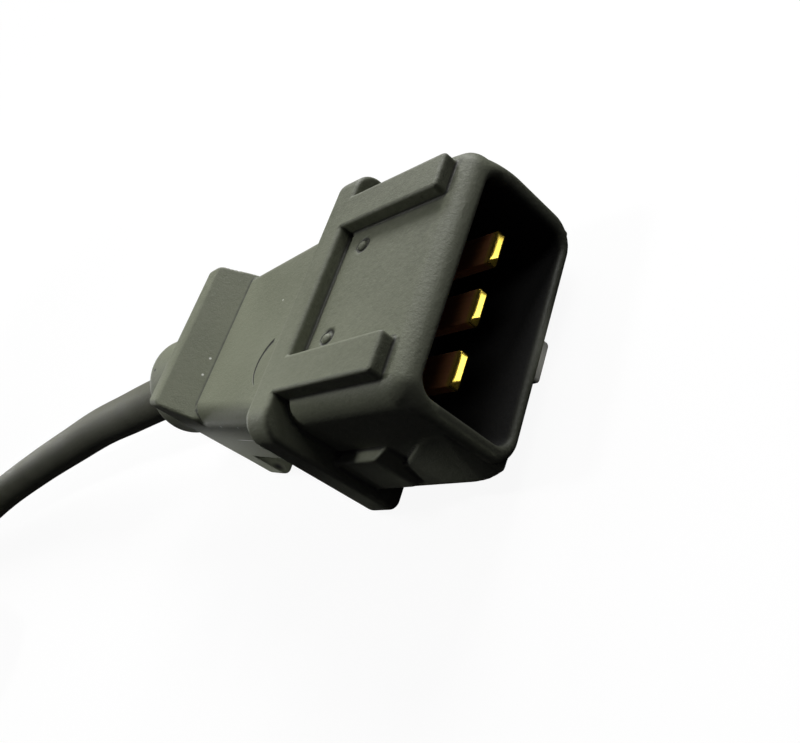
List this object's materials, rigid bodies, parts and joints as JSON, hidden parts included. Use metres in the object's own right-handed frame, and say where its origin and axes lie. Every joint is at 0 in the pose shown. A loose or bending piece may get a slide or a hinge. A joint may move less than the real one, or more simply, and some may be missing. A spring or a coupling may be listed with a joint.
{
  "type": "crankshaft position sensor",
  "caption": "Inductive crankshaft position sensor: a plastic head with mounting ear and sealed nose, a screened cable in a tied coil, and a moulded male connector with gold blades.",
  "frame": {"origin": "where the nose axis of the sensor head meets the head's flat back face, which is also the floor", "axes": "+Z along the nose axis, out of the nose tip; +X from the nose axis to the mounting hole and out of the connector's mouth; +Y to the connector's side of the head"},
  "size_m": [0.1867, 0.0515, 0.0446],
  "materials": {
    "connector_plastic": "dark olive-grey glass-filled nylon, fine grain, slight sheen on the edges",
    "blade_gold": "gold-plated brass, bright",
    "core_white": "white core insulation",
    "core_brown": "brown core insulation",
    "tinned_copper": "tinned copper, satin",
    "cable_sheath": "dark grey-green rubber sheath, matt",
    "tie_nylon": "black nylon",
    "boot_rubber": "black rubber",
    "head_plastic": "black glass-filled nylon, fine grain",
    "bush_steel": "zinc-plated steel",
    "seal_rubber": "black nitrile rubber",
    "pole_iron": "soft iron, turned",
    "magnet_alloy": "cast aluminium-nickel-cobalt magnet",
    "bobbin_plastic": "natural nylon",
    "winding_copper": "enamelled copper wire",
    "potting_resin": "black casting resin"
  },
  "bodies": {
    "root": {"connector_housing": "connector_plastic", "terminal_1": "blade_gold", "terminal_2": "blade_gold", "terminal_3": "blade_gold", "core_1": "core_white", "core_2": "core_brown", "screen_drain": "tinned_copper", "cable_lead": "cable_sheath", "cable_coil": "cable_sheath", "coil_tie": "tie_nylon", "cable_tail": "cable_sheath", "sensor_boot": "boot_rubber", "sensor_body": "head_plastic", "mounting_bush": "bush_steel", "o_ring": "seal_rubber", "pole_piece": "pole_iron", "magnet": "magnet_alloy", "bobbin": "bobbin_plastic", "winding": "winding_copper", "lead_pin_1": "tinned_copper", "lead_pin_2": "tinned_copper", "sensor_core_1": "core_white", "sensor_core_2": "core_brown", "potting": "potting_resin"}
  },
  "joints": []
}
